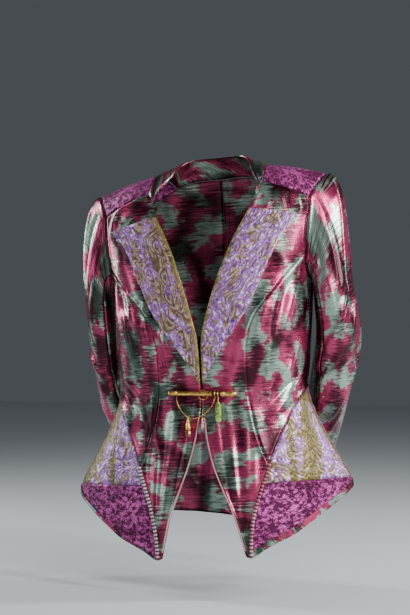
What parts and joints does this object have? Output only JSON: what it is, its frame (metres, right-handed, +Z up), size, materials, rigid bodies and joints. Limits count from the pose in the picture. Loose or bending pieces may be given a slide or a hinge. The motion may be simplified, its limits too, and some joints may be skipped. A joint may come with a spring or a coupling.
{
  "type": "women's fitted jacket",
  "caption": "Fitted satin jacket in worn form with velvet yokes and hip panels, brocade lapels and gores, and a bar clasp with chain and drops at the waist.",
  "frame": {"origin": "midway between the shoulders, level with the side neck points, where the wearer's shoulders hold the jacket", "axes": "+Z up, -Y the front of the jacket, +X the wearer's left"},
  "size_m": [0.4939, 0.3252, 0.7],
  "materials": {
    "satin_jacquard": "satin",
    "velvet": "pile",
    "brocade": "woven",
    "corded_piping": "corded",
    "rose_piping": "satin",
    "gold_metal": "polished",
    "dark_metal": "dark patina",
    "amber_glass": "gloss",
    "pink_glass": "gloss",
    "green_glass": "gloss"
  },
  "bodies": {
    "jacket": {"front_left": "satin_jacquard", "front_right": "satin_jacquard", "side_front_left": "satin_jacquard", "side_front_right": "satin_jacquard", "back_left": "satin_jacquard", "back_right": "satin_jacquard", "yoke_left": "velvet", "yoke_right": "velvet", "gore_left": "brocade", "gore_right": "brocade", "hip_panel_left": "velvet", "hip_panel_right": "velvet", "hem_binding_left": "satin_jacquard", "hem_binding_right": "satin_jacquard", "hip_piping_left": "corded_piping", "hip_piping_right": "corded_piping", "edge_piping_left": "rose_piping", "edge_piping_right": "rose_piping", "lapel_left": "brocade", "lapel_right": "brocade", "collar": "satin_jacquard", "top_sleeve_left": "satin_jacquard", "top_sleeve_right": "satin_jacquard", "under_sleeve_left": "satin_jacquard", "under_sleeve_right": "satin_jacquard", "clasp_bar": "gold_metal", "clasp_collar": "dark_metal", "clasp_knob": "gold_metal", "clasp_ring": "gold_metal", "clasp_shank_left": "gold_metal", "clasp_shank_right": "gold_metal", "chain": "gold_metal", "chain_ring_left": "gold_metal", "chain_ring_right": "gold_metal"},
    "amber": {"amber_cap": "gold_metal", "amber_drop": "amber_glass"},
    "green": {"green_cap": "gold_metal", "green_drop": "green_glass"},
    "pendant": {"pendant_chain": "gold_metal", "pendant_drop": "pink_glass"}
  },
  "joints": [
    {"name": "amber_swing", "type": "hinge", "parent": "jacket", "child": "amber", "pos_m": [-0.01694, -0.12341, -0.426], "axis": [-1, 0, 0], "range_deg": [0, 75]},
    {"name": "green_swing", "type": "hinge", "parent": "jacket", "child": "green", "pos_m": [0.03306, -0.1153, -0.386], "axis": [-1, 0, 0], "range_deg": [0, 75]},
    {"name": "pendant_swing", "type": "hinge", "parent": "jacket", "child": "pendant", "pos_m": [0.00566, -0.1102, -0.3967], "axis": [-1, 0, 0], "range_deg": [0, 10]}
  ]
}
